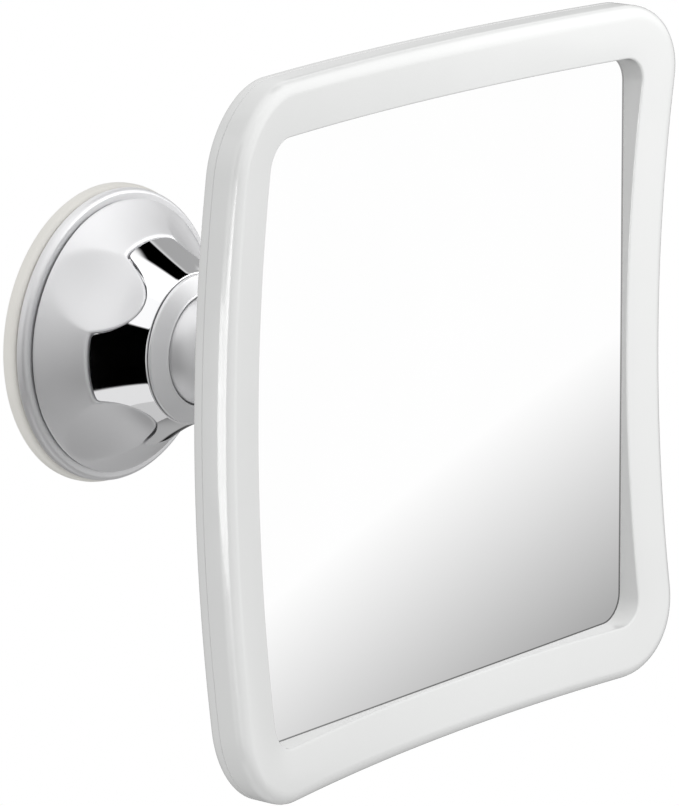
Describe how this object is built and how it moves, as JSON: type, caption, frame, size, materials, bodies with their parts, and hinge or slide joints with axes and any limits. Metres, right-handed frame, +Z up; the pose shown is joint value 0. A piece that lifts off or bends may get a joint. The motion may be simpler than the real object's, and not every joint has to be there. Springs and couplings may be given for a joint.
{
  "type": "fogless shower mirror",
  "caption": "Square fogless shower mirror in a dished frosted frame, on a ball joint and a twist-lock suction mount that sticks to a smooth wall.",
  "frame": {"origin": "centre of the suction pad's wall face", "axes": "+Y into the wall, along the mount's axis; the mirror faces -Y; +Z up; +X to the right for someone who looks into the mirror"},
  "size_m": [0.161, 0.11, 0.161],
  "materials": {
    "frosted_acrylic": "translucent frosted acrylic, glossy outside",
    "mirror_face": "silvered acrylic with an anti-fog coat",
    "satin_chrome": "satin chrome plate on plastic",
    "polished_chrome": "polished chrome plate on plastic",
    "soft_pad": "smooth translucent off-white elastomer",
    "nylon": "plain white nylon",
    "steel": "plain stainless steel",
    "foam": "closed-cell foam"
  },
  "bodies": {
    "wall_base": {"suction_pad": "soft_pad", "pressure_cup": "satin_chrome"},
    "stud": {"draw_stud": "nylon", "stud_pin": "steel"},
    "dome": {"twist_dial": "satin_chrome", "cam_ring": "nylon", "socket_body": "polished_chrome", "retaining_collar": "satin_chrome", "dome_screw_1": "steel", "dome_screw_2": "steel", "dome_screw_3": "steel", "dome_screw_4": "steel"},
    "seat": {"ball_seat": "nylon"},
    "ball": {"swivel_ball": "satin_chrome"},
    "head": {"mirror_arm": "satin_chrome", "arm_screw": "steel", "rear_shell": "frosted_acrylic", "front_frame": "frosted_acrylic", "mirror_plate": "mirror_face", "flange_screw_1": "steel", "flange_screw_2": "steel", "flange_screw_3": "steel", "mirror_cushion_1": "foam", "mirror_cushion_2": "foam", "mirror_cushion_3": "foam", "mirror_cushion_4": "foam"}
  },
  "joints": [
    {"name": "stud_draw", "type": "slide", "parent": "wall_base", "child": "stud", "axis": [0, -1, 0], "range_m": [0, 0.002]},
    {"name": "dial_twist", "type": "hinge", "parent": "wall_base", "child": "dome", "pos_m": [0, 0, 0], "axis": [0, 1, 0], "range_deg": [0, 90]},
    {"name": "head_pan", "type": "hinge", "parent": "dome", "child": "seat", "pos_m": [0, -0.02645, 0], "axis": [0, 0, 1], "range_deg": [-30, 30]},
    {"name": "head_tilt", "type": "hinge", "parent": "seat", "child": "ball", "pos_m": [0, -0.02645, 0], "axis": [1, 0, 0], "range_deg": [-30, 30]},
    {"name": "head_spin", "type": "hinge", "parent": "ball", "child": "head", "pos_m": [0, -0.02645, 0], "axis": [0, 1, 0], "continuous": true}
  ],
  "couplings": [
    {"joint": "stud_draw", "follows": "dial_twist", "m_per_rad": 0.0012732}
  ]
}
